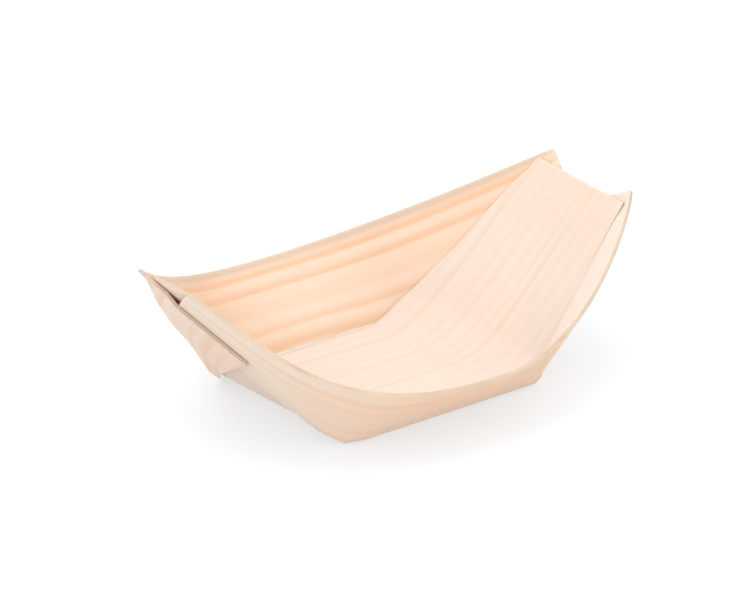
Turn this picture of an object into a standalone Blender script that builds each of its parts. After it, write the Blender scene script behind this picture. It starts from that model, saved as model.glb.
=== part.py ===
"""Wooden snack boat: a pine veneer blank, slit at its ends, folded up and glued.

The floor runs out into a tongue at each end, which bends up inside the boat. The two side walls
fold up along scored lines. Past the slits their flaps wrap the ends outside the tongues, one over
the other, and films of glue hold the layers. Lengths are in millimetres, angles in degrees.
"""

import math

import bmesh
import bpy
from mathutils import Vector

MM = 0.001

# Veneer blank
VENEER = 0.6
FLOOR_WIDTH = 32.6
FOLD_HALF_LENGTH = 16.6

# Rim at the middle of the boat
RIM_WIDTH = 60.0
RIM_LOW = 10.9

# Fits between the pieces
WALL_FOOT_HEIGHT = 0.58
FOLD_GAP = 0.5
LAYER_GAP = 0.3
SCORE_GAP = 0.1
GLUE_GAP = 0.06

# Where a wall turns the corner into its flap, and where the outer flap climbs over the inner one
KNUCKLE_RADIUS = 1.6
KNUCKLE_SHARE = 1 / 3
FOOT_SHARE = 0.05
LIFT_START = 0.8
LIFT_END = 13.0
LIFT_FADE = 7.0
HORN_BLEND = 3.2

# Sampling of the curved sheets
STATIONS = 72
KNUCKLE_ROWS = 2
WALL_ROWS = 5
LAP_ROWS = 6
STRIP_ROWS = 4
BEND_STEPS = 8
SLOPE_STEPS = 6
RIM_SAMPLES = 160
GLUE_SIDES = 28
SCORE_STATIONS = 12

# Finishes: colour and roughness
WALL_FINISH = ((0.90, 0.72, 0.52, 1.0), 0.6)
FLOOR_FINISH = ((0.94, 0.80, 0.66, 1.0), 0.6)
SCORE_FINISH = ((0.74, 0.56, 0.38, 1.0), 0.8)
GLUE_FINISH = ((0.86, 0.80, 0.66, 1.0), 0.3)


class Flap:
    """The end of one side wall: its two free corners and the pull of the rim towards it.

    horn and corner are (across, up) on the tongue's slope, across counted towards the wall's side.
    bow is how far the slit edge arches up the slope, spring how far the corner stands off.
    """

    def __init__(self, horn, corner, pull, turn, climb, outermost, bow=0.0, spring=0.0):
        self.horn = horn
        self.corner = corner
        self.bow = bow
        self.spring = spring
        self.pull = pull
        self.turn = math.radians(turn)
        self.climb = math.radians(climb)
        self.outermost = outermost


class End:
    """One upturned end: a level floor, a bend and a straight tongue, with two flaps outside it.

    skew is how much lower the near corner of the tongue's top edge sits than the far one.
    """

    def __init__(self, heading, slope, foot, bend, tongue_top, tongue_end, far, near, skew=0.0):
        self.heading = heading
        self.slope = math.radians(slope)
        self.foot = foot
        self.bend = bend
        self.tongue_top = tongue_top
        self.tongue_end = tongue_end
        self.skew = skew
        self.flaps = {"far": far, "near": near}

    def bend_start(self):
        return self.foot - self.bend * math.tan(self.slope / 2)

    def along(self, up):
        """Length along the sheet, from the middle, of a point that far up the straight slope."""
        arc = self.bend * (self.slope - math.tan(self.slope / 2))
        return self.bend_start() + arc + up

    def reach(self):
        return self.along(self.tongue_top)

    def tongue_share(self, along):
        """How far along the tongue a point is, from 0 at the slit root to 1 at the top."""
        share = (along - FOLD_HALF_LENGTH) / (self.reach() - FOLD_HALF_LENGTH)
        return min(max(share, 0.0), 1.0)

    def half_width(self, name, along):
        """From the middle line to the tongue's edge, which tapers from the slit root to the top."""
        taper = self.tongue_share(along)
        return FLOOR_WIDTH / 2 * (1 - taper) + self.tongue_end[name] * taper

    def point(self, along, across, out=0.0):
        """A point on the sheet's underside, moved out of the boat by the given distance."""
        past = along - self.bend_start()
        turn = min(max(past / self.bend, 0.0), self.slope)
        straight = past - self.bend * turn
        x = self.bend_start() + self.bend * math.sin(turn) + straight * math.cos(turn)
        z = self.bend * (1 - math.cos(turn)) + max(straight, 0.0) * math.sin(turn)
        x += out * math.sin(turn)
        z -= out * math.cos(turn)
        return Vector((self.heading * x, across, z))

    def lap_start(self):
        """Where a flap can slip under the tongue without reaching below the floor."""
        turn = math.acos((self.bend - WALL_FOOT_HEIGHT) / (self.bend + LAYER_GAP))
        return self.bend_start() + self.bend * turn

    def outer_flap(self):
        return next(name for name, flap in self.flaps.items() if flap.outermost)


RIGHT_END = End(
    heading=1, slope=45.0, foot=18.6, bend=11.0, tongue_top=33.4,
    tongue_end={"far": 11.2, "near": 10.8}, skew=1.15,
    far=Flap(horn=(10.1, 35.9), corner=(-9.3, 23.5), pull=(0.39, 0.37),
             turn=42.0, climb=26.0, outermost=False),
    near=Flap(horn=(10.1, 34.8), corner=(-9.3, 22.5), pull=(0.34, 0.36),
              turn=41.5, climb=24.0, outermost=True, bow=1.0, spring=0.6))
LEFT_END = End(
    heading=-1, slope=52.0, foot=20.0, bend=9.0, tongue_top=33.4,
    tongue_end={"far": 5.2, "near": 6.0},
    far=Flap(horn=(5.8, 35.4), corner=(-8.5, 18.7), pull=(0.40, 0.38),
             turn=42.0, climb=28.0, outermost=True, bow=1.0, spring=0.1),
    near=Flap(horn=(6.7, 35.6), corner=(-7.6, 23.0), pull=(0.75, 0.38),
              turn=44.0, climb=34.0, outermost=False))
SIDES = {"far": 1, "near": -1}

# Glue spots on the ends: centre (across, up the slope) and radii
INNER_GLUE = {
    "right_inner_glue": (RIGHT_END, (2.0, 23.0), (5.0, 4.0)),
    "left_inner_glue": (LEFT_END, (-2.0, 21.0), (5.0, 4.6)),
}
OUTER_GLUE = {
    "right_outer_glue": (RIGHT_END, (0.0, 22.5), (4.4, 3.4)),
    "left_outer_glue": (LEFT_END, (0.0, 21.2), (4.0, 3.4)),
}


def smooth_step(value):
    value = min(max(value, 0.0), 1.0)
    return value * value * (3 - 2 * value)


def beyond_line(point, start, end):
    """Signed distance of a flat point from a line, positive on its left."""
    run = Vector(end) - Vector(start)
    step = Vector(point) - Vector(start)
    return (run.x * step.y - run.y * step.x) / run.length


def flap_outline(end, name):
    """Root, free corner and horn of a flap on the flattened end, as (across, along)."""
    side = SIDES[name]
    flap = end.flaps[name]
    root = (side * (end.half_width(name, end.lap_start()) + FOLD_GAP), end.lap_start())
    corner = (side * flap.corner[0], end.along(flap.corner[1]))
    horn = (side * flap.horn[0], end.along(flap.horn[1]))
    return root, corner, horn


def layer_offset(end, name, across, along):
    """How far a flap lies outside the tongue.

    The outermost flap climbs over the other one's edges and springs away towards its own corner.
    """
    if not end.flaps[name].outermost:
        return LAYER_GAP
    other = "near" if name == "far" else "far"
    root, corner, horn = flap_outline(end, other)
    spin = -SIDES[other]
    clear = max(spin * beyond_line((across, along), corner, root),
                spin * beyond_line((across, along), horn, corner))
    lift = 1 - smooth_step((clear - LIFT_START) / (LIFT_END - LIFT_START))
    lift *= smooth_step((along - end.lap_start()) / LIFT_FADE)
    root, corner, horn = flap_outline(end, name)
    past_knuckle = beyond_line((across, along), root, horn) / beyond_line(corner, root, horn)
    spring = end.flaps[name].spring * max(past_knuckle, 0.0)
    return LAYER_GAP + lift * (VENEER + LAYER_GAP) + spring


def lap_point(end, name, across, along):
    return end.point(along, across, layer_offset(end, name, across, along))


def wall_foot(end, name, along):
    """Inside lower edge of a wall: along the scored fold, then beside the tongue's edge."""
    start = end.lap_start()
    across = SIDES[name] * (end.half_width(name, along) + FOLD_GAP)
    if along >= start:
        return lap_point(end, name, across, along)
    ahead = end.point(start, 0.0, LAYER_GAP)
    return Vector((ahead.x * along / start, across, WALL_FOOT_HEIGHT))


def rim_curve(end, name):
    """Quarter of the rim, from the middle of the boat to a horn, as a cubic curve."""
    side = SIDES[name]
    flap = end.flaps[name]
    horn_along = end.along(flap.horn[1])
    last = end.point(horn_along, side * flap.horn[0], LAYER_GAP)
    span = abs(last.x)
    first = Vector((0.0, side * RIM_WIDTH / 2, RIM_LOW))
    leave = first + Vector((end.heading * flap.pull[0] * span, 0.0, 0.0))
    level = math.cos(flap.climb)
    aim = Vector((end.heading * math.cos(flap.turn) * level, -side * math.sin(flap.turn) * level,
                  math.sin(flap.climb)))
    arrive = last - aim * flap.pull[1] * span
    points = []
    for index in range(RIM_SAMPLES + 1):
        t = index / RIM_SAMPLES
        points.append(first * (1 - t) ** 3 + leave * 3 * t * (1 - t) ** 2
                      + arrive * 3 * t * t * (1 - t) + last * t ** 3)
    return points


def point_at_fraction(points, fraction):
    """Point at a fraction of a polyline's length."""
    steps = [(b - a).length for a, b in zip(points, points[1:])]
    left = fraction * sum(steps)
    for start, stop, step in zip(points, points[1:], steps):
        if left <= step:
            return start.lerp(stop, left / step)
        left -= step
    return points[-1].copy()


def station_lengths(end):
    """Stations from the middle to an end, with one exactly where the laps start."""
    start = end.lap_start()
    before = round(STATIONS / 2 * start / end.reach())
    after = STATIONS // 2 - before
    lengths = [start * index / before for index in range(before + 1)]
    lengths += [start + (end.reach() - start) * (index + 1) / after for index in range(after)]
    return lengths, before


def end_edge_point(end, name):
    """Point of a flap's end edge level with the tongue's top edge."""
    side = SIDES[name]
    flap = end.flaps[name]
    share = (end.tongue_top - flap.corner[1]) / (flap.horn[1] - flap.corner[1])
    across = side * (flap.corner[0] + (flap.horn[0] - flap.corner[0]) * share)
    return across, end.reach()


def add_grid_faces(sheet, columns, flip):
    """Quads between neighbouring columns of vertices, or triangles where they meet."""
    for left, right in zip(columns, columns[1:]):
        for row in range(len(left) - 1):
            loop = [left[row], right[row], right[row + 1], left[row + 1]]
            corners = list(dict.fromkeys(loop))
            if flip:
                corners.reverse()
            if len(corners) > 2:
                sheet.faces.new(corners)


def section(knuckle, top, lap_line):
    """One cross-section of a wall: its rising leg, and its lapping leg where it has one.

    Both legs start at the knuckle, which is rounded as far as the legs are long enough.
    """
    rise = (top - knuckle).length
    lap = (lap_line(1.0) - knuckle).length if lap_line else 0.0
    radius = min(KNUCKLE_RADIUS, rise * KNUCKLE_SHARE, lap * KNUCKLE_SHARE)
    reach = max(radius, rise * FOOT_SHARE)
    up = (top - knuckle).normalized()
    inward = (lap_line(radius / lap) - knuckle).normalized() if lap_line else Vector()
    wall_leg = []
    lap_leg = []
    for row in range(KNUCKLE_ROWS):
        part = row / KNUCKLE_ROWS
        ahead = ((1 + part) / 2) ** 2 * radius
        behind = ((1 - part) / 2) ** 2 * radius
        bow = (up * ahead + inward * behind) if lap_line else up * part * reach
        wall_leg.append(knuckle + bow)
        lap_leg.append(knuckle + up * behind + inward * ahead)
    start = reach / rise
    for row in range(WALL_ROWS + 1):
        wall_leg.append(knuckle.lerp(top, start + (1 - start) * row / WALL_ROWS))
    if not lap_line:
        return wall_leg, []
    start = radius / lap
    for row in range(LAP_ROWS + 1):
        lap_leg.append(lap_line(start + (1 - start) * row / LAP_ROWS))
    return wall_leg, lap_leg[1:]


def slit_edge_point(end, name, share):
    """Point of a flap's slit edge, from its root to its free corner."""
    root, corner, _ = flap_outline(end, name)
    arch = 4 * share * (1 - share) * end.flaps[name].bow
    return Vector(root).lerp(Vector(corner), share) + Vector((0.0, arch))


def flap_line(end, name, knuckle, cut):
    """Straight line across a flattened flap, from its knuckle to its slit edge, laid on the tongue."""
    def place(share):
        across, along = knuckle.lerp(cut, share)
        return lap_point(end, name, across, along)
    return place


def add_half_wall(sheet, end, name, middle):
    """Wall from the middle to one end, and the flap that laps the tongue there."""
    rim = rim_curve(end, name)
    lengths, first_lap = station_lengths(end)
    columns = [middle] if middle else []
    lap_columns = []
    for index in range(1 if middle else 0, len(lengths)):
        along = lengths[index]
        knuckle = wall_foot(end, name, along)
        flat = Vector((knuckle.y, along))
        horn = smooth_step(1 - (end.reach() - along) / HORN_BLEND)
        if horn:
            flat = flat.lerp(Vector(end_edge_point(end, name)), horn)
            knuckle = lap_point(end, name, *flat)
        top = point_at_fraction(rim, along / end.reach())
        lap_line = None
        if index > first_lap:
            share = (along - lengths[first_lap]) / (lengths[-1] - lengths[first_lap])
            lap_line = flap_line(end, name, flat, slit_edge_point(end, name, share))
        wall_leg, lap_leg = section(knuckle, top, lap_line)
        column = [sheet.verts.new(point * MM) for point in wall_leg]
        columns.append(column)
        if index == first_lap:
            lap_columns.append([column[0]] * (KNUCKLE_ROWS + LAP_ROWS + 1))
        if lap_line:
            lap_columns.append([column[0]] + [sheet.verts.new(point * MM) for point in lap_leg])
    mirrored = end.heading * SIDES[name] < 0
    add_grid_faces(sheet, columns, flip=not mirrored)
    add_grid_faces(sheet, lap_columns, flip=mirrored)
    return columns[0]


def piece_material(name, finish):
    colour, roughness = finish
    material = bpy.data.materials.new(name)
    material.use_nodes = True
    shader = material.node_tree.nodes["Principled BSDF"]
    shader.inputs["Base Color"].default_value = colour
    shader.inputs["Roughness"].default_value = roughness
    shader.inputs["Metallic"].default_value = 0.0
    return material


def finish_piece(name, sheet, material, parent):
    mesh = bpy.data.meshes.new(name)
    sheet.to_mesh(mesh)
    sheet.free()
    mesh.materials.append(material)
    piece = bpy.data.objects.new(name, mesh)
    piece.parent = parent
    bpy.context.collection.objects.link(piece)
    return piece


def thicken(piece, thickness):
    shell = piece.modifiers.new("Thickness", "SOLIDIFY")
    shell.thickness = thickness * MM
    shell.offset = 1.0
    shell.use_even_offset = True
    shell.use_quality_normals = True


def make_wall(name, material, parent):
    """A side wall with both its end flaps; the modelled sheet is its inner face."""
    sheet = bmesh.new()
    middle = add_half_wall(sheet, RIGHT_END, name, None)
    add_half_wall(sheet, LEFT_END, name, middle)
    wall = finish_piece(name + "_wall", sheet, material, parent)
    thicken(wall, VENEER)
    return wall


def strip_columns(sheet, end):
    """Columns of the floor sheet from the middle to one end, closer together round the bend."""
    lengths = [0.0, end.bend_start() / 2, end.bend_start(), FOLD_HALF_LENGTH]
    arc = end.bend * end.slope
    lengths += [end.bend_start() + arc * (step + 1) / BEND_STEPS for step in range(BEND_STEPS)]
    straight = end.reach() - end.bend_start() - arc
    lengths += [end.reach() - straight * step / SLOPE_STEPS for step in range(SLOPE_STEPS)]
    columns = []
    for along in sorted(lengths):
        far = end.half_width("far", along)
        near = -end.half_width("near", along)
        skew = end.skew * smooth_step(end.tongue_share(along))
        column = []
        for row in range(STRIP_ROWS + 1):
            across = near + (far - near) * row / STRIP_ROWS
            drop = skew * (STRIP_ROWS - row) / STRIP_ROWS
            column.append(sheet.verts.new(end.point(along - drop, across) * MM))
        columns.append(column)
    return columns


def make_floor(material, parent):
    """The floor and its two tapering tongues, one sheet, modelled on its underside."""
    sheet = bmesh.new()
    right = strip_columns(sheet, RIGHT_END)
    left = strip_columns(sheet, LEFT_END)
    columns = list(reversed(left[1:])) + right
    for vertex in left[0]:
        sheet.verts.remove(vertex)
    add_grid_faces(sheet, columns, flip=False)
    strip = finish_piece("floor_strip", sheet, material, parent)
    thicken(strip, VENEER)
    return strip


def wall_lean(name, along):
    """Unit direction up a wall from its foot, square to the length."""
    end = RIGHT_END if along >= 0 else LEFT_END
    foot = wall_foot(end, name, abs(along))
    top = point_at_fraction(rim_curve(end, name), abs(along) / end.reach())
    lean = Vector((abs(top.y) - abs(foot.y), top.z - foot.z))
    return lean.normalized()


def make_score(name, material, parent):
    """The crushed fibres of a scored fold, a wedge between the floor's edge and the wall's foot."""
    sheet = bmesh.new()
    half_length = min(RIGHT_END.bend_start(), LEFT_END.bend_start())
    floor_edge = FLOOR_WIDTH / 2 + SCORE_GAP
    foot = FLOOR_WIDTH / 2 + FOLD_GAP
    rings = []
    for step in range(SCORE_STATIONS + 1):
        x = half_length * (2 * step / SCORE_STATIONS - 1)
        lean = wall_lean(name, x)
        inset = Vector((-lean.x, -lean.y)) * SCORE_GAP
        upper = Vector((foot, WALL_FOOT_HEIGHT)) + inset
        lower = upper + Vector((lean.y, -lean.x)) * (VENEER - SCORE_GAP)
        outline = [(floor_edge, lower.y), (lower.x, lower.y), (upper.x, upper.y), (floor_edge, upper.y)]
        ring = [sheet.verts.new(Vector((x, SIDES[name] * across, up)) * MM) for across, up in outline]
        rings.append(ring + [ring[0]])
    add_grid_faces(sheet, rings, flip=SIDES[name] < 0)
    sheet.faces.new(rings[0][:-1])
    sheet.faces.new(rings[-1][:-1])
    bmesh.ops.recalc_face_normals(sheet, faces=sheet.faces)
    return finish_piece(name + "_score", sheet, material, parent)


def make_glue(name, spot, under, over, material, parent):
    """A dab of glue filling the space between two layers of an end, over an oval.

    under and over give the two layers' distances outside the tongue at a point (across, along).
    """
    end, centre, radii = spot
    flat = [(centre[0], end.along(centre[1]))]
    for index in range(GLUE_SIDES):
        angle = 2 * math.pi * index / GLUE_SIDES
        across = centre[0] + radii[0] * math.cos(angle)
        flat.append((across, end.along(centre[1] + radii[1] * math.sin(angle))))
    dab = bmesh.new()
    inner = [dab.verts.new(end.point(along, across, under(across, along) + GLUE_GAP) * MM)
             for across, along in flat]
    outer = [dab.verts.new(end.point(along, across, over(across, along) - GLUE_GAP) * MM)
             for across, along in flat]
    for index in range(GLUE_SIDES):
        here = 1 + index
        ahead = 1 + (index + 1) % GLUE_SIDES
        dab.faces.new((inner[0], inner[here], inner[ahead]))
        dab.faces.new((outer[0], outer[ahead], outer[here]))
        dab.faces.new((inner[here], outer[here], outer[ahead], inner[ahead]))
    bmesh.ops.recalc_face_normals(dab, faces=dab.faces)
    return finish_piece(name, dab, material, parent)


def make_inner_glue(name, spot, material, parent):
    """Glue between a tongue and the flap next to it."""
    return make_glue(name, spot, lambda across, along: 0.0, lambda across, along: LAYER_GAP,
                     material, parent)


def make_outer_glue(name, spot, material, parent):
    """Glue between the two flaps of an end."""
    end = spot[0]
    outer = end.outer_flap()
    return make_glue(name, spot, lambda across, along: LAYER_GAP + VENEER,
                     lambda across, along: layer_offset(end, outer, across, along), material, parent)


def clear_scene():
    for item in list(bpy.data.objects):
        bpy.data.objects.remove(item, do_unlink=True)


def centre_over_footprint(parent, pieces):
    """Put the middle of the boat's length over the origin."""
    bpy.context.view_layer.update()
    graph = bpy.context.evaluated_depsgraph_get()
    ends = []
    for piece in pieces:
        mesh = piece.evaluated_get(graph).data
        ends += [vertex.co.x for vertex in mesh.vertices]
    parent.location.x = -(max(ends) + min(ends)) / 2


def main():
    clear_scene()
    boat = bpy.data.objects.new("snack_boat", None)
    bpy.context.collection.objects.link(boat)
    floor_wood = piece_material("floor_veneer", FLOOR_FINISH)
    wall_wood = piece_material("wall_veneer", WALL_FINISH)
    score_wood = piece_material("scored_fibre", SCORE_FINISH)
    glue = piece_material("clear_glue", GLUE_FINISH)
    pieces = [make_floor(floor_wood, boat)]
    for name in SIDES:
        pieces.append(make_wall(name, wall_wood, boat))
        pieces.append(make_score(name, score_wood, boat))
    for name, spot in INNER_GLUE.items():
        pieces.append(make_inner_glue(name, spot, glue, boat))
    for name, spot in OUTER_GLUE.items():
        pieces.append(make_outer_glue(name, spot, glue, boat))
    centre_over_footprint(boat, pieces)


main()
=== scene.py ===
import math

import bmesh
import bpy
from mathutils import Matrix, Vector, noise


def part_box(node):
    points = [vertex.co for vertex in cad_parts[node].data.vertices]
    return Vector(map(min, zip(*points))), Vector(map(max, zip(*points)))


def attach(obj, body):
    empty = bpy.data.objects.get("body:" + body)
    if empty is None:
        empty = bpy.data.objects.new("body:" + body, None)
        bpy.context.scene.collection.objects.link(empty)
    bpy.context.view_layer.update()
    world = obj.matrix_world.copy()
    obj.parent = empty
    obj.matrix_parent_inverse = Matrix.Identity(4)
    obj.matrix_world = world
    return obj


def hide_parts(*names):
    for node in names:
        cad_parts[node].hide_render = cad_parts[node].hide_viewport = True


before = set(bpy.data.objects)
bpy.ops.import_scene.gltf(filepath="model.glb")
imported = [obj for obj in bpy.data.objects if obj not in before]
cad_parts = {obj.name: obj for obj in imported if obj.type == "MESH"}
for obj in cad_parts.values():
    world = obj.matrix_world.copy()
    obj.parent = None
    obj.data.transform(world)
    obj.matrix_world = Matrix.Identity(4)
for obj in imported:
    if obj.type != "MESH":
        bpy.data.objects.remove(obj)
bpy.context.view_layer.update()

mm = 0.001
print("frame: loaded", len(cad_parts), "CAD nodes")


# The folded blank. Lengths are in mm, angles in degrees, in the boat's own axes:
# x along the length, y towards the far wall, z up from the floor's underside.

sheet = {
    "veneer": 0.6,
    "floorWidth": 32.6,
    "wallHeight": 16.7,      # fold to rim, measured on the flat blank
    "foldHalf": 16.6,        # half the length of a scored fold
    "rimWidth": 60.0,
    "rimLow": 10.9,
    "rimSteps": 240,
    "footHeight": 0.58,
    "foldGap": 0.4,
    "slitGap": 0.02,         # beside a tongue the wall stands closer than along the fold
    "layerGap": 0.1,         # between a tongue and the flap next to it
    "flapGap": 0.03,         # between the two flaps of an end
    "hornLay": (5.0, 8.5),   # this near its horn an outer flap lies back on the tongue
    "hug": 2.2,              # a wall leans away from a tongue's edge over about this height
    "knuckle": 0.5,
    "knuckleShare": 1 / 3,
    "footShare": 0.05,
    "liftStart": 0.8,
    "liftFade": 7.0,         # the climb starts this gently above the slit's root
    "gapFade": 4.0,
    "hornBlend": 3.2,        # this near the tongue's top a flap's knuckle fades into its flat horn
}

# An end's horn and corner are (across, up the slope), and its curl is (along, lift of the far edge).
rightEnd = {
    "heading": 1, "slope": 45.0, "foot": 18.6, "bend": 11.0, "tongueTop": 33.4, "skew": 1.15,
    "liftEnd": 4.0,
    "curl": ((10.0, 0.0), (20.0, 2.2), (34.0, 1.1), (44.0, 1.0), (51.5, 0.0)),
    "tongueEnd": {"far": 11.2, "near": 10.8}, "outer": "near",
    "far": {"horn": (10.1, 35.9), "corner": (-7.0, 25.0), "pull": (0.39, 0.37),
            "turn": 42.0, "climb": 26.0, "bow": 0.0, "spring": 0.0, "hugs": False},
    "near": {"horn": (10.1, 34.8), "corner": (-9.3, 22.5), "pull": (0.34, 0.36),
             "turn": 41.5, "climb": 24.0, "bow": 1.0, "spring": 0.6, "hugs": True},
}

leftEnd = {
    "heading": -1, "slope": 52.0, "foot": 20.0, "bend": 9.0, "tongueTop": 33.4, "skew": 0.0,
    "liftEnd": 13.0,
    "curl": (),
    "tongueEnd": {"far": 5.2, "near": 6.0}, "outer": "far",
    "far": {"horn": (5.8, 35.4), "corner": (-8.5, 18.7), "pull": (0.40, 0.38),
            "turn": 42.0, "climb": 28.0, "bow": 1.0, "spring": 0.05, "hugs": False},
    "near": {"horn": (6.7, 35.6), "corner": (-7.6, 23.0), "pull": (0.75, 0.38),
             "turn": 44.0, "climb": 34.0, "bow": 0.0, "spring": 0.0, "hugs": False},
}

ends = (rightEnd, leftEnd)
sideSign = {"far": 1, "near": -1}
blankWidth = 2 * sheet["wallHeight"] + sheet["floorWidth"]


def smoothStep(value):
    value = min(max(value, 0.0), 1.0)
    return value * value * (3 - 2 * value)


def bendStart(end):
    return end["foot"] - end["bend"] * math.tan(math.radians(end["slope"]) / 2)


def alongOf(end, up):        # length on the sheet of a point that far up the straight slope
    slope = math.radians(end["slope"])
    return bendStart(end) + end["bend"] * (slope - math.tan(slope / 2)) + up


def reachOf(end):
    return alongOf(end, end["tongueTop"])


def halfWidth(end, side, along):        # middle line to the tongue's tapering edge
    taper = (along - sheet["foldHalf"]) / (reachOf(end) - sheet["foldHalf"])
    taper = min(max(taper, 0.0), 1.0)
    return sheet["floorWidth"] / 2 * (1 - taper) + end["tongueEnd"][side] * taper


def slopePoint(end, along, across, out=0.0):        # out is the distance outside the tongue's underside
    past = along - bendStart(end)
    turn = min(max(past / end["bend"], 0.0), math.radians(end["slope"]))
    straight = past - end["bend"] * turn
    x = bendStart(end) + end["bend"] * math.sin(turn) + straight * math.cos(turn) + out * math.sin(turn)
    z = end["bend"] * (1 - math.cos(turn)) + max(straight, 0.0) * math.sin(turn) - out * math.cos(turn)
    return Vector((end["heading"] * x, across, z))


def lapStart(end):        # a flap slips under the tongue here, still above the floor's underside
    turn = math.acos((end["bend"] - sheet["footHeight"]) / (end["bend"] + sheet["layerGap"]))
    return bendStart(end) + end["bend"] * turn


# The boat is centred on its length, so the CAD box says where its middle is.
tipX = slopePoint(rightEnd, reachOf(rightEnd), 0.0).x * mm
boatShift = Vector((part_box("floor_strip")[1].x - tipX, 0.0, 0.0))


def toFrame(point):
    return point * mm + boatShift


def beyondLine(point, start, stop):        # signed distance of a flat point, positive on the line's left
    run = Vector(stop) - Vector(start)
    step = Vector(point) - Vector(start)
    return (run.x * step.y - run.y * step.x) / run.length


def flapOutline(end, side):        # slit root, free corner and horn, as (across, along)
    sign = sideSign[side]
    flap = end[side]
    root = (sign * (halfWidth(end, side, lapStart(end)) + sheet["foldGap"]), lapStart(end))
    corner = (sign * flap["corner"][0], alongOf(end, flap["corner"][1]))
    horn = (sign * flap["horn"][0], alongOf(end, flap["horn"][1]))
    return root, corner, horn


def layerOffset(end, side, across, along):        # the outer flap climbs over the inner one and springs off
    if end["outer"] != side:
        return sheet["layerGap"]
    other = "near" if side == "far" else "far"
    root, corner, horn = flapOutline(end, other)
    spin = -sideSign[other]
    clear = max(spin * beyondLine((across, along), corner, root),
                spin * beyondLine((across, along), horn, corner))
    lift = 1 - smoothStep((clear - sheet["liftStart"]) / (end["liftEnd"] - sheet["liftStart"]))
    lift *= smoothStep((along - lapStart(end)) / sheet["liftFade"])
    root, corner, horn = flapOutline(end, side)
    flush, free = sheet["hornLay"]
    lift *= smoothStep(((Vector((across, along)) - Vector(horn)).length - flush) / (free - flush))
    pastKnuckle = beyondLine((across, along), root, horn) / beyondLine(corner, root, horn)
    spring = end[side]["spring"] * max(pastKnuckle, 0.0)
    return sheet["layerGap"] + lift * (sheet["veneer"] + sheet["flapGap"]) + spring


def lapPoint(end, side, across, along):
    return slopePoint(end, along, across, layerOffset(end, side, across, along))


def wallFoot(end, side, along):        # along the scored fold, then beside the tongue's edge
    start = lapStart(end)
    closing = smoothStep((along - start) / sheet["gapFade"])
    gap = sheet["foldGap"] + (sheet["slitGap"] - sheet["foldGap"]) * closing
    across = sideSign[side] * (halfWidth(end, side, along) + gap)
    if along >= start:
        return lapPoint(end, side, across, along)
    ahead = slopePoint(end, start, 0.0, sheet["layerGap"])
    return Vector((ahead.x * along / start, across, sheet["footHeight"]))


def rimCurve(end, side):        # a quarter of the rim, from the boat's middle to a horn
    sign = sideSign[side]
    flap = end[side]
    turn = math.radians(flap["turn"])
    climb = math.radians(flap["climb"])
    last = slopePoint(end, alongOf(end, flap["horn"][1]), sign * flap["horn"][0], sheet["layerGap"])
    span = abs(last.x)
    first = Vector((0.0, sign * sheet["rimWidth"] / 2, sheet["rimLow"]))
    leave = first + Vector((end["heading"] * flap["pull"][0] * span, 0.0, 0.0))
    aim = Vector((end["heading"] * math.cos(turn) * math.cos(climb),
                  -sign * math.sin(turn) * math.cos(climb), math.sin(climb)))
    arrive = last - aim * flap["pull"][1] * span
    points = []
    for index in range(sheet["rimSteps"] + 1):
        t = index / sheet["rimSteps"]
        points.append(first * (1 - t) ** 3 + leave * 3 * t * (1 - t) ** 2
                      + arrive * 3 * t * t * (1 - t) + last * t ** 3)
    return points


def pointAtFraction(points, fraction):
    steps = [(b - a).length for a, b in zip(points, points[1:])]
    left = fraction * sum(steps)
    for start, stop, step in zip(points, points[1:], steps):
        if left <= step:
            return start.lerp(stop, left / step)
        left -= step
    return points[-1].copy()


def slitEdge(end, side, share):        # a flap's lower edge, from its root to its free corner
    root, corner, _ = flapOutline(end, side)
    arch = 4 * share * (1 - share) * end[side]["bow"]
    return Vector(root).lerp(Vector(corner), share) + Vector((0.0, arch))


# Node helpers, for shaders and for geometry

def addNode(tree, kind, values=None, **settings):        # a value is set, or linked where it is a socket
    node = tree.nodes.new(kind)
    for key, value in settings.items():
        setattr(node, key, value)
    for key, value in (values or {}).items():
        if isinstance(value, bpy.types.NodeSocket):
            tree.links.new(value, node.inputs[key])
        else:
            node.inputs[key].default_value = value
    return node


def calc(tree, operation, *values):
    return addNode(tree, "ShaderNodeMath", dict(enumerate(values)), operation=operation).outputs[0]


def splitXyz(tree, vector):
    return addNode(tree, "ShaderNodeSeparateXYZ", {"Vector": vector}).outputs


def joinXyz(tree, x, y, z):
    return addNode(tree, "ShaderNodeCombineXYZ", {"X": x, "Y": y, "Z": z}).outputs[0]


def ramp(tree, value, low, high, toLow=0.0, toHigh=1.0):
    keys = {"Value": value, "From Min": low, "From Max": high, "To Min": toLow, "To Max": toHigh}
    return addNode(tree, "ShaderNodeMapRange", keys, interpolation_type="SMOOTHSTEP").outputs["Result"]


def colour(rgb):
    return (*rgb, 1.0)


def blendColour(tree, factor, first, second):
    return addNode(tree, "ShaderNodeMix", {0: factor, 6: first, 7: second}, data_type="RGBA").outputs[2]


def tint(tree, wood, mask, band, rgb):        # band: where the mask starts, where it is full, its strength
    start, full, strength = band
    return blendColour(tree, ramp(tree, mask, start, full, 0.0, strength), wood, colour(rgb))


# Shader groups. Grain is the place on the flat blank in cm: x along the fibres, y across them.

grainUnit = 10.0        # mm
noiseRoughness = 0.55


def inMm(tree, length):
    return calc(tree, "MULTIPLY", length, grainUnit)


def shaderGroup(name, numbers, outputs):
    tree = bpy.data.node_groups.new(name, "ShaderNodeTree")
    tree.interface.new_socket("Grain", in_out="INPUT", socket_type="NodeSocketVector")
    for label, value in numbers.items():
        socket = tree.interface.new_socket(label, in_out="INPUT", socket_type="NodeSocketFloat")
        socket.default_value = value
    for label in outputs:
        tree.interface.new_socket(label, in_out="OUTPUT", socket_type="NodeSocketFloat")
    start = tree.nodes.new("NodeGroupInput")
    stop = tree.nodes.new("NodeGroupOutput")
    return tree, start.outputs, stop.inputs


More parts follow.
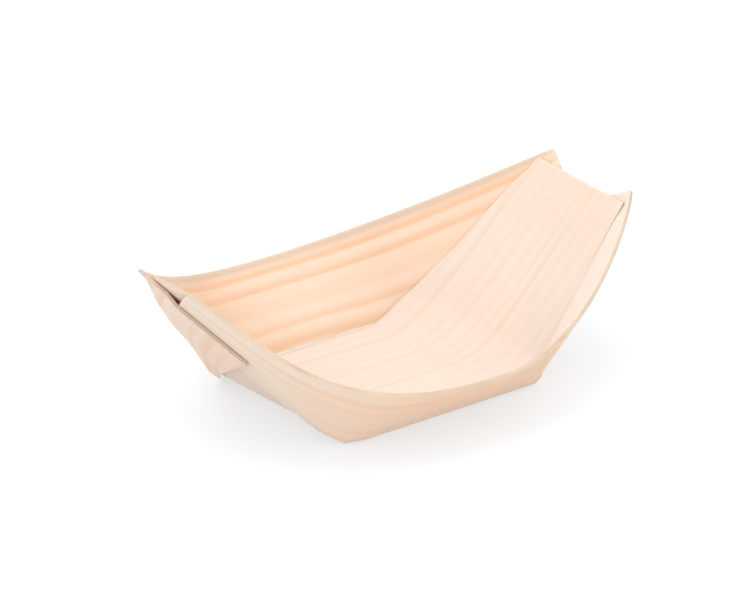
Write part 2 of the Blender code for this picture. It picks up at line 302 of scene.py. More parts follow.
def stretchedNoise(tree, along, across, seed, detail):
    values = {"Vector": joinXyz(tree, along, across, seed), "Scale": 1.0, "Detail": detail,
              "Roughness": noiseRoughness}
    return addNode(tree, "ShaderNodeTexNoise", values).outputs["Fac"]


ringShape = {
    "wanderScale": (0.16, 0.55),        # along and across, per cm
    "unevenScale": 1.3, "unevenSeed": 7.3,
    "rise": (0.20, 0.78), "fall": (1.0, 0.80),        # a band darkens slowly and ends sharply
    "strength": (0.25, 1.0),
}


def makeGrowthRings():        # late-wood bands that run with the fibres and wander a little
    numbers = {"Spacing": 3.2, "Wander": 1.4, "Seed": 0.0}
    tree, given, made = shaderGroup("growthRings", numbers, ("Late", "Tone"))
    flat = splitXyz(tree, given["Grain"])
    alongScale, acrossScale = ringShape["wanderScale"]
    slow = stretchedNoise(tree, calc(tree, "MULTIPLY", flat["X"], alongScale),
                          calc(tree, "MULTIPLY", flat["Y"], acrossScale), given["Seed"], 2.0)
    drift = calc(tree, "MULTIPLY", calc(tree, "SUBTRACT", slow, 0.5), given["Wander"])
    uneven = stretchedNoise(tree, 0.0, calc(tree, "MULTIPLY", flat["Y"], ringShape["unevenScale"]),
                            calc(tree, "ADD", given["Seed"], ringShape["unevenSeed"]), 1.0)
    uneven = calc(tree, "MULTIPLY", calc(tree, "SUBTRACT", uneven, 0.5), given["Spacing"])
    acrossMm = calc(tree, "ADD", inMm(tree, flat["Y"]), calc(tree, "ADD", drift, uneven))
    phase = calc(tree, "DIVIDE", acrossMm, given["Spacing"])
    share = calc(tree, "FRACT", phase)
    rise = ramp(tree, share, *ringShape["rise"])
    fall = ramp(tree, share, *ringShape["fall"])
    ring = calc(tree, "ADD", calc(tree, "FLOOR", phase), given["Seed"])
    strength = addNode(tree, "ShaderNodeTexWhiteNoise", {"W": ring}, noise_dimensions="1D").outputs["Value"]
    weak, strong = ringShape["strength"]
    strength = calc(tree, "MULTIPLY_ADD", strength, strong - weak, weak)
    tree.links.new(calc(tree, "MULTIPLY", calc(tree, "MULTIPLY", rise, fall), strength), made["Late"])
    tree.links.new(slow, made["Tone"])
    return tree


fleckShape = {"along": 0.45, "across": 4.5, "seed": 3.1, "band": (0.66, 0.80), "depth": 0.35}


def makeVeneerFibre():        # fine streaks, darker flecks, and the height that both give the surface
    numbers = {"Length": 18.0, "Width": 0.28, "Seed": 0.0}
    tree, given, made = shaderGroup("veneerFibre", numbers, ("Fibre", "Fleck", "Height"))
    flat = splitXyz(tree, given["Grain"])
    alongMm = inMm(tree, flat["X"])
    acrossMm = inMm(tree, flat["Y"])
    fibre = stretchedNoise(tree, calc(tree, "DIVIDE", alongMm, given["Length"]),
                           calc(tree, "DIVIDE", acrossMm, given["Width"]), given["Seed"], 4.0)
    fleck = stretchedNoise(tree, calc(tree, "MULTIPLY", alongMm, fleckShape["along"]),
                           calc(tree, "MULTIPLY", acrossMm, fleckShape["across"]),
                           calc(tree, "ADD", given["Seed"], fleckShape["seed"]), 1.0)
    fleck = ramp(tree, fleck, *fleckShape["band"])
    sunk = calc(tree, "MULTIPLY", fleck, fleckShape["depth"])
    tree.links.new(fibre, made["Fibre"])
    tree.links.new(fleck, made["Fleck"])
    tree.links.new(calc(tree, "SUBTRACT", fibre, sunk), made["Height"])
    return tree


growthRings = makeGrowthRings()
veneerFibre = makeVeneerFibre()
print("finishes: shader groups made")


# Finishes. The two faces of a wall share its growth rings; their colours differ as painted light: the far
# wall's outside lighter, the near wall's outside redder and its inside paler.

grainKinds = {
    "far": {"spacing": 3.3, "wander": 1.6, "fibreWidth": 0.30, "seed": 2.0, "roughness": (0.48, 0.64)},
    "floor": {"spacing": 2.5, "wander": 2.0, "fibreWidth": 0.24, "seed": 11.0, "roughness": (0.46, 0.60)},
    "near": {"spacing": 3.0, "wander": 1.8, "fibreWidth": 0.30, "seed": 23.0, "roughness": (0.50, 0.66)},
}

# drift: the wood is tinted towards its late colour between these places along the grain, in mm, up to this
# strength. On the floor and on the near wall's outside this is painted shade.
# rim: rimTint grows in the same way across the grain, so the far wall is darker along its rim.
veneerLooks = {
    "farVeneer": {
        "grain": "far", "early": (0.688, 0.545, 0.426), "late": (0.620, 0.360, 0.185), "lateShare": 0.66,
        "fibreTint": (0.59, 0.40, 0.26), "crease": (0.50, 0.36, 0.24), "drift": (5.0, -26.0, 0.32),
        "rim": (1.8, 0.8, 0.65), "rimTint": (0.48, 0.375, 0.28)},
    # floorVeneer: its drift is painted shade, darkening the right tongue towards its top
    "floorVeneer": {
        "grain": "floor", "early": (0.630, 0.524, 0.447), "late": (0.598, 0.438, 0.335), "lateShare": 0.68,
        "fibreTint": (0.58, 0.45, 0.355), "crease": (0.54, 0.42, 0.32), "drift": (32.0, 47.0, 0.36)},
    # nearVeneer, the near wall's outside: painted light makes it redder than its inside, for light bounced
    # onto this shaded face, and its drift is painted shade, darker towards the right
    "nearVeneer": {
        "grain": "near", "early": (0.655, 0.572, 0.484), "late": (0.700, 0.402, 0.190), "lateShare": 0.42,
        "fibreTint": (0.58, 0.43, 0.29), "crease": (0.50, 0.36, 0.23), "drift": (-32.0, -4.0, 0.38)},
    # farOutside, the far wall's outside: painted light, lighter than the inside, for light bounced onto this
    # shaded face
    "farOutside": {
        "grain": "far", "early": (0.700, 0.545, 0.448), "late": (0.630, 0.380, 0.225), "lateShare": 0.50,
        "fibreTint": (0.59, 0.41, 0.28), "crease": (0.50, 0.36, 0.24)},
    # nearInside, the near wall's inside: painted light, paler and less orange than the outside, for strong
    # light that washes this face out
    "nearInside": {
        "grain": "near", "early": (0.655, 0.550, 0.492), "late": (0.620, 0.480, 0.375), "lateShare": 0.42,
        "fibreTint": (0.60, 0.49, 0.40), "crease": (0.52, 0.41, 0.31), "drift": (20.0, 46.0, 0.28)},
}

woodLook = {
    "streak": (0.50, 0.80, 0.38), "tone": (0.30, 0.70, 0.22), "fleckShare": 0.30, "creaseShare": 0.3,
    "mattBand": (0.3, 0.7), "specular": 0.32, "bump": (0.35, 0.00006),
    "throughShare": 0.45, "throughRadius": (1.0, 0.62, 0.42), "throughScale": 0.0012,        # thin pine glows
}


def newMaterial(name):
    material = bpy.data.materials.new(name)
    material.use_nodes = True
    return material, material.node_tree, material.node_tree.nodes["Principled BSDF"]


def addBump(tree, shader, height, bump):
    strength, depth = bump
    values = {"Height": height, "Strength": strength, "Distance": depth}
    tree.links.new(addNode(tree, "ShaderNodeBump", values).outputs["Normal"], shader.inputs["Normal"])


def setRoughness(tree, shader, mask, band, roughness):
    tree.links.new(ramp(tree, mask, *band, *roughness), shader.inputs["Roughness"])


def grainMap(tree):
    return addNode(tree, "ShaderNodeUVMap", uv_map="grain").outputs["UV"]


def attributeMask(tree, name):
    return addNode(tree, "ShaderNodeAttribute", attribute_name=name).outputs["Fac"]


def makeVeneer(name):
    look = veneerLooks[name]
    kind = grainKinds[look["grain"]]
    material, tree, shader = newMaterial(name)
    grain = grainMap(tree)
    values = {"Grain": grain, "Spacing": kind["spacing"], "Wander": kind["wander"], "Seed": kind["seed"]}
    rings = addNode(tree, "ShaderNodeGroup", values, node_tree=growthRings).outputs
    values = {"Grain": grain, "Width": kind["fibreWidth"], "Seed": kind["seed"]}
    fibres = addNode(tree, "ShaderNodeGroup", values, node_tree=veneerFibre).outputs
    late = calc(tree, "MULTIPLY", rings["Late"], look["lateShare"])
    wood = blendColour(tree, late, colour(look["early"]), colour(look["late"]))
    wood = tint(tree, wood, fibres["Fibre"], woodLook["streak"], look["fibreTint"])
    fleck = calc(tree, "MULTIPLY", fibres["Fleck"], woodLook["fleckShare"])
    wood = blendColour(tree, fleck, wood, colour(look["fibreTint"]))
    wood = tint(tree, wood, rings["Tone"], woodLook["tone"], look["late"])
    flat = splitXyz(tree, grain)
    # drift is painted shade on the floor's right tongue and on the near wall's outside; on the other faces
    # the wood only grows darker towards one end
    if "drift" in look:
        wood = tint(tree, wood, inMm(tree, flat["X"]), look["drift"], look["late"])
    crease = calc(tree, "MULTIPLY", attributeMask(tree, "crease"), woodLook["creaseShare"])
    wood = blendColour(tree, crease, wood, colour(look["crease"]))
    if "rim" in look:
        wood = tint(tree, wood, inMm(tree, flat["Y"]), look["rim"], look["rimTint"])
    tree.links.new(wood, shader.inputs["Base Color"])
    setRoughness(tree, shader, fibres["Fibre"], woodLook["mattBand"], kind["roughness"])
    shader.inputs["Specular IOR Level"].default_value = woodLook["specular"]
    shader.inputs["Subsurface Weight"].default_value = woodLook["throughShare"]
    shader.inputs["Subsurface Radius"].default_value = woodLook["throughRadius"]
    shader.inputs["Subsurface Scale"].default_value = woodLook["throughScale"]
    addBump(tree, shader, fibres["Height"], woodLook["bump"])
    return material


# slit: the floor's and tongues' side edges are painted paler than the rims, painted light in the shaded gap
# beside the walls
edgeLook = {
    "pale": (0.54, 0.42, 0.31), "dark": (0.44, 0.32, 0.21), "slit": (0.70, 0.60, 0.52),
    "length": 9.0, "width": 0.22, "streak": (0.40, 0.72, 0.75),
    "mattBand": (0.3, 0.7), "roughness": (0.62, 0.80), "bump": (0.5, 0.00005),
}


def makeCutEdge():        # streaked along the rims, ticked with fibre ends where the cut crosses the grain
    material, tree, shader = newMaterial("cutEdge")
    values = {"Grain": grainMap(tree), "Length": edgeLook["length"], "Width": edgeLook["width"]}
    fibres = addNode(tree, "ShaderNodeGroup", values, node_tree=veneerFibre).outputs
    wood = tint(tree, colour(edgeLook["pale"]), fibres["Fibre"], edgeLook["streak"], edgeLook["dark"])
    # painted light: the slit edges take the paler slit colour
    wood = blendColour(tree, attributeMask(tree, "slit"), wood, colour(edgeLook["slit"]))
    tree.links.new(wood, shader.inputs["Base Color"])
    setRoughness(tree, shader, fibres["Fibre"], edgeLook["mattBand"], edgeLook["roughness"])
    addBump(tree, shader, fibres["Height"], edgeLook["bump"])
    return material


fibreLook = {
    "pale": (0.72, 0.61, 0.51), "dark": (0.63, 0.50, 0.39), "streaks": (400.0, 6000.0, 6000.0), "detail": 3.0,
    "band": (0.3, 0.7), "roughness": (0.65, 0.85),
}
glueLook = {
    "clear": (0.62, 0.48, 0.32), "cloudy": (0.68, 0.58, 0.45), "scale": 420.0, "detail": 3.0,
    "cloudBand": (0.35, 0.65), "mattBand": (0.3, 0.7), "roughness": (0.18, 0.42), "bump": (0.4, 0.0001),
}


def makeLooseFibre():        # torn and crushed fibres
    material, tree, shader = newMaterial("looseFibre")
    place = addNode(tree, "ShaderNodeTexCoord").outputs["Object"]
    place = addNode(tree, "ShaderNodeMapping", {"Vector": place, "Scale": fibreLook["streaks"]}).outputs[0]
    values = {"Vector": place, "Scale": 1.0, "Detail": fibreLook["detail"]}
    mottle = addNode(tree, "ShaderNodeTexNoise", values).outputs["Fac"]
    wood = tint(tree, colour(fibreLook["pale"]), mottle, (*fibreLook["band"], 1.0), fibreLook["dark"])
    tree.links.new(wood, shader.inputs["Base Color"])
    setRoughness(tree, shader, mottle, fibreLook["band"], fibreLook["roughness"])
    return material


def makeGlue():        # hardened amber glue with cloudy patches
    material, tree, shader = newMaterial("glueFilm")
    place = addNode(tree, "ShaderNodeTexCoord").outputs["Object"]
    values = {"Vector": place, "Scale": glueLook["scale"], "Detail": glueLook["detail"]}
    cloud = addNode(tree, "ShaderNodeTexNoise", values).outputs["Fac"]
    film = tint(tree, colour(glueLook["clear"]), cloud, (*glueLook["cloudBand"], 1.0), glueLook["cloudy"])
    tree.links.new(film, shader.inputs["Base Color"])
    setRoughness(tree, shader, cloud, glueLook["mattBand"], glueLook["roughness"])
    addBump(tree, shader, cloud, glueLook["bump"])
    return material


materials = {name: makeVeneer(name) for name in veneerLooks}
materials["cutEdge"] = makeCutEdge()
materials["looseFibre"] = makeLooseFibre()
materials["glueFilm"] = makeGlue()
print("finishes:", ", ".join(materials))


# Sheets of veneer. Each vertex keeps its place on the flat blank, how close it is to a crease,
# and whether the edge there is a tongue's slit.

def newSheet():
    return {"points": [], "grain": [], "crease": [], "slit": [], "faces": []}


def addPoint(data, point, along, across, crease=0.0, slit=0.0):
    data["points"].append(point)
    data["grain"].append((along / grainUnit, across / grainUnit))
    data["crease"].append(crease)
    data["slit"].append(slit)
    return len(data["points"]) - 1


def addStrips(data, columns, flip):        # quads between neighbouring columns, triangles where they meet
    for left, right in zip(columns, columns[1:]):
        for row in range(len(left) - 1):
            corners = list(dict.fromkeys((left[row], right[row], right[row + 1], left[row + 1])))
            if flip:
                corners.reverse()
            if len(corners) > 2:
                data["faces"].append(corners)


def newObject(name, data):
    made = bpy.data.objects.new(name, data)
    bpy.context.scene.collection.objects.link(made)
    return made


def sheetObject(name, data, place=toFrame):
    mesh = bpy.data.meshes.new(name)
    mesh.from_pydata([place(point) for point in data["points"]], [], data["faces"])
    grain = mesh.uv_layers.new(name="grain")
    for loop in mesh.loops:
        grain.data[loop.index].uv = data["grain"][loop.vertex_index]
    for layer in ("crease", "slit"):
        mesh.attributes.new(layer, "FLOAT", "POINT").data.foreach_set("value", data[layer])
    return newObject(name, mesh)


def bakeModifiers(piece):        # the evaluated shape becomes the plain mesh
    bpy.context.view_layer.update()
    graph = bpy.context.evaluated_depsgraph_get()
    mesh = bpy.data.meshes.new_from_object(piece.evaluated_get(graph), preserve_all_data_layers=True,
                                           depsgraph=graph)
    piece.modifiers.clear()
    old = piece.data
    piece.data = mesh
    bpy.data.meshes.remove(old)
    mesh.name = piece.name


def smoothShade(piece, angle):
    piece.data.shade_smooth()
    piece.data.set_sharp_from_angle(angle=math.radians(angle))


warp = {"depth": 0.10, "wave": 17.0}        # slight cockling of the thin wood, mm


def cockle(piece):
    mesh = piece.data
    normals = [vertex.normal.copy() for vertex in mesh.vertices]
    for vertex, normal in zip(mesh.vertices, normals):
        vertex.co += normal * noise.noise(vertex.co / (warp["wave"] * mm)) * warp["depth"] * mm


edgeShape = {"round": 0.13, "steps": 2, "angle": 50.0, "smoothTo": 40.0}


def thicken(piece, innerFace, outerFace):
    for name in (outerFace, "cutEdge", innerFace):
        piece.data.materials.append(materials[name])
    shell = piece.modifiers.new("thickness", "SOLIDIFY")
    shell.thickness = sheet["veneer"] * mm
    shell.offset = 1.0
    shell.use_even_offset = True
    shell.use_quality_normals = True
    shell.material_offset_rim = 1
    shell.material_offset = 2
    corner = piece.modifiers.new("edges", "BEVEL")
    corner.width = edgeShape["round"] * mm
    corner.segments = edgeShape["steps"]
    corner.limit_method = "ANGLE"
    corner.angle_limit = math.radians(edgeShape["angle"])
    bakeModifiers(piece)
    smoothShade(piece, edgeShape["smoothTo"])


# Side walls: lofted from fold to rim, turned round a knuckle into the flaps.

wallMesh = {"stations": 84, "knuckleRows": 4, "wallRows": 18, "lapRows": 16,
            "creaseWidth": 1.1, "grainBlend": 7.0}
wallFaces = {
    "far": {"inside": "farVeneer", "outside": "farOutside"},
    "near": {"inside": "nearInside", "outside": "nearVeneer"},
}


def hugTongue(end, side, along, wallLeg, share):        # beside a tongue the wall stands against its edge
    foot = slopePoint(end, along, 0.0)
    inside = (slopePoint(end, along, 0.0, -1.0) - foot).normalized()
    ahead = (slopePoint(end, along + 1.0, 0.0) - foot).normalized()
    total = (wallLeg[-1] - wallLeg[0]).length
    hugged = []
    for point in wallLeg:
        clear = max((point - foot).dot(inside) - sheet["veneer"], 0.0)
        edge = halfWidth(end, side, along + (point - foot).dot(ahead)) + sheet["slitGap"]
        gap = max(sideSign[side] * point.y - edge, 0.0)
        rimShare = smoothStep(2 * (point - wallLeg[0]).length / total - 1)        # the rim stays where it is
        closed = gap * share * (1 - rimShare) * math.exp(-clear / sheet["hug"])
        hugged.append(point - Vector((0.0, sideSign[side] * closed, 0.0)))
    return hugged


def wallSection(knuckle, top, lapLine):        # the wall's leg, the flap's leg and its shares of the lap line
    rise = (top - knuckle).length
    lap = (lapLine(1.0) - knuckle).length if lapLine else 0.0
    radius = min(sheet["knuckle"], rise * sheet["knuckleShare"], lap * sheet["knuckleShare"])
    reach = max(radius, rise * sheet["footShare"])
    up = (top - knuckle).normalized()
    inward = (lapLine(radius / lap) - knuckle).normalized() if lapLine else Vector()
    wallLeg = []
    lapLeg = []
    shares = [0.0] * wallMesh["knuckleRows"]
    for row in range(wallMesh["knuckleRows"]):
        part = row / wallMesh["knuckleRows"]
        ahead = ((1 + part) / 2) ** 2 * radius
        behind = ((1 - part) / 2) ** 2 * radius
        wallLeg.append(knuckle + (up * ahead + inward * behind if lapLine else up * part * reach))
        lapLeg.append(knuckle + up * behind + inward * ahead)
    start = reach / rise
    for row in range(wallMesh["wallRows"] + 1):
        wallLeg.append(knuckle.lerp(top, start + (1 - start) * row / wallMesh["wallRows"]))
    if lapLine:
        start = radius / lap
        shares += [start + (1 - start) * row / wallMesh["lapRows"] for row in range(wallMesh["lapRows"] + 1)]
        lapLeg += [lapLine(share) for share in shares[wallMesh["knuckleRows"]:]]
    return wallLeg, lapLeg, shares


def flapLine(end, side, knuckle, cut):
    def place(share):
        across, along = knuckle.lerp(cut, share)
        return lapPoint(end, side, across, along)
    return place


def wallStations(end):        # one station falls exactly where the lap starts
    start = lapStart(end)
    before = round(wallMesh["stations"] * start / reachOf(end))
    after = wallMesh["stations"] - before
    stations = [start * index / before for index in range(before + 1)]
    stations += [start + (reachOf(end) - start) * (index + 1) / after for index in range(after)]
    return stations, before


def endEdgePoint(end, side):        # on a flap's end edge, level with the tongue's top edge
    flap = end[side]
    share = (end["tongueTop"] - flap["corner"][1]) / (flap["horn"][1] - flap["corner"][1])
    across = flap["corner"][0] + (flap["horn"][0] - flap["corner"][0]) * share
    return sideSign[side] * across, reachOf(end)


def blankAcross(side, fromRim):        # distance from the blank's far edge
    return fromRim if side == "far" else blankWidth - fromRim


def addWallColumn(data, side, points, along, creased):        # points run from the rim down
    column = []
    fromRim = 0.0
    for index, point in enumerate(points):
        if index:
            fromRim += (point - points[index - 1]).length
        crease = 1 - smoothStep((point - points[-1]).length / wallMesh["creaseWidth"]) if creased else 0.0
        column.append(addPoint(data, point, along, blankAcross(side, fromRim), crease))
    return column, fromRim


def flapGrain(end, side, flat):        # on the flap the fibres run square to its end edge
    _, corner, horn = (Vector(spot) for spot in flapOutline(end, side))
    edge = (horn - corner).normalized()
    step = flat - horn
    outward = Vector((-edge.y, edge.x)) * sideSign[side]
    return reachOf(end) + step.dot(outward), -step.dot(edge)


def addLapColumn(data, end, side, points, along, fromRim, flats):        # points run from the knuckle inward
    column = []
    travelled = 0.0
    for index in range(1, len(points)):
        travelled += (points[index] - points[index - 1]).length
        settled = smoothStep(travelled / wallMesh["grainBlend"])
        flapAlong, flapFromRim = flapGrain(end, side, flats[index])
        grainAlong = end["heading"] * (along + (flapAlong - along) * settled)
        grainFromRim = fromRim + travelled * (1 - settled) + (flapFromRim - fromRim) * settled
        column.append(addPoint(data, points[index], grainAlong, blankAcross(side, grainFromRim)))
    return column


def addHalfWall(data, end, side, middle):        # from the boat's middle to one end
    rim = rimCurve(end, side)
    stations, firstLap = wallStations(end)
    columns = [middle] if middle else []
    lapColumns = []
    for index in range(1 if middle else 0, len(stations)):
        along = stations[index]
        knuckle = wallFoot(end, side, along)
        flat = Vector((knuckle.y, along))
        horn = smoothStep(1 - (reachOf(end) - along) / sheet["hornBlend"])
        if horn:
            flat = flat.lerp(Vector(endEdgePoint(end, side)), horn)
            knuckle = lapPoint(end, side, *flat)
        top = pointAtFraction(rim, along / reachOf(end))
        lapLine = None
        if index > firstLap:
            share = (along - stations[firstLap]) / (stations[-1] - stations[firstLap])
            cut = slitEdge(end, side, share)
            lapLine = flapLine(end, side, flat, cut)
        wallLeg, lapLeg, shares = wallSection(knuckle, top, lapLine)
        if end[side]["hugs"]:
            hug = smoothStep((along - stations[firstLap]) / sheet["gapFade"]) * (1 - horn)
            wallLeg = hugTongue(end, side, along, wallLeg, hug)
        column, fromRim = addWallColumn(data, side, wallLeg[::-1], end["heading"] * along, index <= firstLap)
        column.reverse()
        columns.append(column)
        if index == firstLap:        # the flap starts from a single point
            lapColumns.append([column[0]] * (wallMesh["knuckleRows"] + wallMesh["lapRows"] + 1))
        if lapLine:
            flats = [flat.lerp(cut, part) for part in shares]
            lapColumns.append([column[0]] + addLapColumn(data, end, side, lapLeg, along, fromRim, flats))
    mirrored = end["heading"] * sideSign[side] < 0
    addStrips(data, columns, flip=not mirrored)
    addStrips(data, lapColumns, flip=mirrored)
    return columns[0]


def makeWall(side):
    data = newSheet()
    middle = addHalfWall(data, rightEnd, side, None)
    addHalfWall(data, leftEnd, side, middle)
    wall = sheetObject(side + "Wall", data)
    cockle(wall)
    thicken(wall, wallFaces[side]["inside"], wallFaces[side]["outside"])
    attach(wall, "root")
    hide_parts(side + "_wall")
    print("wall:", side, len(wall.data.polygons), "faces")


for side in sideSign:
    makeWall(side)


# Geometry node helpers

def nodeTree(name, numbers, counts=(), finishes=("Material",)):
    tree = bpy.data.node_groups.new(name, "GeometryNodeTree")
    tree.interface.new_socket("Geometry", in_out="INPUT", socket_type="NodeSocketGeometry")
    kinds = (("NodeSocketFloat", numbers), ("NodeSocketInt", counts), ("NodeSocketMaterial", finishes))
    for kind, labels in kinds:
        for label in labels:
            tree.interface.new_socket(label, in_out="INPUT", socket_type=kind)
    tree.interface.new_socket("Geometry", in_out="OUTPUT", socket_type="NodeSocketGeometry")
    start = tree.nodes.new("NodeGroupInput")
    stop = tree.nodes.new("NodeGroupOutput")
    return tree, start.outputs, stop.inputs


def runTree(piece, tree, values):        # inputs are set by identifier, then the result becomes the mesh
    modifier = piece.modifiers.new(tree.name, "NODES")
    modifier.node_group = tree
    names = {item.name: item.identifier for item in tree.interface.items_tree if item.in_out == "INPUT"}
    for label, value in values.items():
        modifier[names[label]] = value
    bakeModifiers(piece)


def finishTree(tree, geometry, made, given):
    real = addNode(tree, "GeometryNodeRealizeInstances", {"Geometry": geometry}).outputs[0]
    painted = addNode(tree, "GeometryNodeSetMaterial", {"Geometry": real, "Material": given["Material"]})
    tree.links.new(painted.outputs[0], made["Geometry"])


def pickRandom(tree, low, high, seed, number=None):
    values = {2: low, 3: high, "Seed": seed}
    if number is not None:
        values["ID"] = number
    return addNode(tree, "FunctionNodeRandomValue", values, data_type="FLOAT").outputs[1]


# Floor: a flat tapering blank, bent up into a tongue at each end by one rule.

floorMesh = {"columnStep": 0.7, "rows": 30, "curlFade": 1.3}


def makeTongueBend():
    parts = ("Start", "Radius", "Slope")
    numbers = [label + " " + part for label in ("Right", "Left") for part in parts] + ["Shift"]
    tree, given, made = nodeTree("bendTongues", numbers, finishes=("Material", "Edge Material"))
    flat = splitXyz(tree, addNode(tree, "GeometryNodeInputPosition").outputs[0])
    heading = calc(tree, "SIGN", flat["X"])
    onLeft = calc(tree, "LESS_THAN", flat["X"], 0.0)
    chosen = {}
    for part in parts:
        step = calc(tree, "SUBTRACT", given["Left " + part], given["Right " + part])
        chosen[part] = calc(tree, "MULTIPLY_ADD", step, onLeft, given["Right " + part])
    past = calc(tree, "SUBTRACT", calc(tree, "ABSOLUTE", flat["X"]), chosen["Start"])
    turn = calc(tree, "MAXIMUM", calc(tree, "DIVIDE", past, chosen["Radius"]), 0.0)
    turn = calc(tree, "MINIMUM", turn, chosen["Slope"])
    straight = calc(tree, "SUBTRACT", past, calc(tree, "MULTIPLY", chosen["Radius"], turn))
    sine = calc(tree, "SINE", turn)
    cosine = calc(tree, "COSINE", turn)
    inner = calc(tree, "SUBTRACT", chosen["Radius"], flat["Z"])
    x = calc(tree, "ADD", chosen["Start"], calc(tree, "MULTIPLY", inner, sine))
    x = calc(tree, "MULTIPLY_ADD", straight, cosine, x)
    x = calc(tree, "MULTIPLY_ADD", x, heading, given["Shift"])
    z = calc(tree, "SUBTRACT", chosen["Radius"], calc(tree, "MULTIPLY", inner, cosine))
    z = calc(tree, "MULTIPLY_ADD", calc(tree, "MAXIMUM", straight, 0.0), sine, z)
    curl = addNode(tree, "GeometryNodeInputNamedAttribute", {"Name": "curl"}, data_type="FLOAT_VECTOR")
    values = {"Geometry": given["Geometry"], "Position": joinXyz(tree, x, flat["Y"], z),
              "Offset": curl.outputs[0]}
    bent = addNode(tree, "GeometryNodeSetPosition", values).outputs[0]
    real = addNode(tree, "GeometryNodeRealizeInstances", {"Geometry": bent}).outputs[0]
    slot = addNode(tree, "GeometryNodeInputMaterialIndex").outputs[0]
    atEdge = calc(tree, "COMPARE", slot, 1.0, 0.5)
    onFace = calc(tree, "SUBTRACT", 1.0, atEdge)
    painted = real
    for chosenFaces, label in ((onFace, "Material"), (atEdge, "Edge Material")):
        values = {"Geometry": painted, "Selection": chosenFaces, "Material": given[label]}
        painted = addNode(tree, "GeometryNodeSetMaterial", values).outputs[0]
    tree.links.new(painted, made["Geometry"])
    return tree


def endSkew(end, along, across):        # a tongue's end edge isn't quite square: its near corner sits lower
    share = smoothStep((along - sheet["foldHalf"]) / (reachOf(end) - sheet["foldHalf"]))
    far = halfWidth(end, "far", along)
    toNear = (far - across) / (far + halfWidth(end, "near", along))
    return end["skew"] * share * toNear


def curlWay(end, along):        # the tongue's far edge rides a little up the far wall as it leaves the floor
    for (start, low), (stop, high) in zip(end["curl"], end["curl"][1:]):
        if start <= along < stop:
            lift = low + (high - low) * smoothStep((along - start) / (stop - start))
            rim = pointAtFraction(rimCurve(end, "far"), along / reachOf(end))
            return (rim - wallFoot(end, "far", along)).normalized() * lift
    return Vector()


def floorLengths():        # where the columns stand along the flat floor, from tip to tip
    lengths = [0.0]
    for end in ends:
        count = round(reachOf(end) / floorMesh["columnStep"])
        lengths += [end["heading"] * reachOf(end) * (index + 1) / count for index in range(count)]
    return sorted(lengths)


def makeFloor():
    data = newSheet()
    curls = []
    columns = []
    for x in floorLengths():
        end = rightEnd if x >= 0 else leftEnd
        far = halfWidth(end, "far", abs(x))
        near = -halfWidth(end, "near", abs(x))
        curl = curlWay(end, abs(x))
        slit = 1.0 if abs(x) < reachOf(end) else 0.0
        column = []
        for row in range(floorMesh["rows"] + 1):
            across = near + (far - near) * row / floorMesh["rows"]
            atFold = min(far - across, across - near) if abs(x) < sheet["foldHalf"] else blankWidth
            crease = 1 - smoothStep(atFold / wallMesh["creaseWidth"])
            flatAcross = sheet["wallHeight"] + sheet["floorWidth"] / 2 - across
            skewed = x - end["heading"] * endSkew(end, abs(x), across)
            curls.extend(curl * mm * (row / floorMesh["rows"]) ** floorMesh["curlFade"])
            column.append(addPoint(data, Vector((skewed, across, 0.0)), skewed, flatAcross, crease, slit))
        columns.append(column)
    addStrips(data, columns, flip=False)
    floor = sheetObject("floorStrip", data, lambda point: point * mm)
    floor.data.attributes.new("curl", "FLOAT_VECTOR", "POINT").data.foreach_set("vector", curls)
    thicken(floor, "floorVeneer", "floorVeneer")
    values = {"Shift": boatShift.x, "Material": materials["floorVeneer"],
              "Edge Material": materials["cutEdge"]}
    for label, end in (("Right", rightEnd), ("Left", leftEnd)):
        values[label + " Start"] = bendStart(end) * mm
        values[label + " Radius"] = end["bend"] * mm
        values[label + " Slope"] = math.radians(end["slope"])
    runTree(floor, makeTongueBend(), values)
    cockle(floor)
    smoothShade(floor, edgeShape["smoothTo"])
    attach(floor, "root")
    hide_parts("floor_strip")
    print("floor:", len(floor.data.polygons), "faces")


makeFloor()


# Scored folds: a crushed strip that closes the gap between floor and wall, with loose strands along it.
# Heel and shoulder are (out, up) from the wall's foot, crown and lip (out, up) from the floor's lower edge.

score = {
    "stations": 120, "tuck": 1.1, "tipThin": 1.3, "tipShare": 0.15,
    "ragged": 0.10, "raggedWave": 1.7, "sideShift": 5.0,
    "floorGap": 0.06, "low": 0.10, "heel": (0.24, -0.44), "shoulder": (-0.02, 0.06),
    "crown": (0.12, 0.62), "lip": (-0.24, 0.612), "grip": 0.50, "smoothTo": 30.0,
}
strand = {
    "count": 30, "radius": 0.035, "sides": 6, "spread": 0.30, "wave": 2.6, "jitter": 0.10, "seed": 4,
    "start": (0.0, 0.72), "length": (0.12, 0.28),        # shares of the fold's length
    "laneStep": 3.7, "laneShare": 0.618, "heightLane": 11.0, "smoothTo": 60.0,
}


def scoreSection(side, x):
    end = rightEnd if x >= 0 else leftEnd
    sign = sideSign[side]
    edge = sign * (halfWidth(end, side, abs(x)) + score["floorGap"])
    foot = wallFoot(end, side, abs(x))
    spot = Vector((x * score["raggedWave"], sign * score["sideShift"], 0.0))
    ragged = score["ragged"] * noise.noise(spot)
    heelOut, heelUp = score["heel"]
    shoulderOut, shoulderUp = score["shoulder"]
    crownOut, crownUp = score["crown"]
    lipOut, lipUp = score["lip"]
    section = [slopePoint(end, abs(x), edge, -score["low"]),
               foot + Vector((0.0, sign * heelOut, heelUp)),
               foot + Vector((0.0, sign * shoulderOut, shoulderUp + ragged)),
               slopePoint(end, abs(x), edge + sign * crownOut, -crownUp - ragged / 4),
               slopePoint(end, abs(x), edge + sign * lipOut, -lipUp),
               slopePoint(end, abs(x), edge, -score["grip"])]
    toTip = lapStart(end) + score["tuck"] - abs(x)
    full = score["tipShare"] + (1 - score["tipShare"]) * smoothStep(toTip / score["tipThin"])
    return [section[-1].lerp(point, full) for point in section]


def scoreStations():        # both tips tuck in under the tongues
    low = -lapStart(leftEnd) - score["tuck"]
    high = lapStart(rightEnd) + score["tuck"]
    return [low + (high - low) * index / score["stations"] for index in range(score["stations"] + 1)]


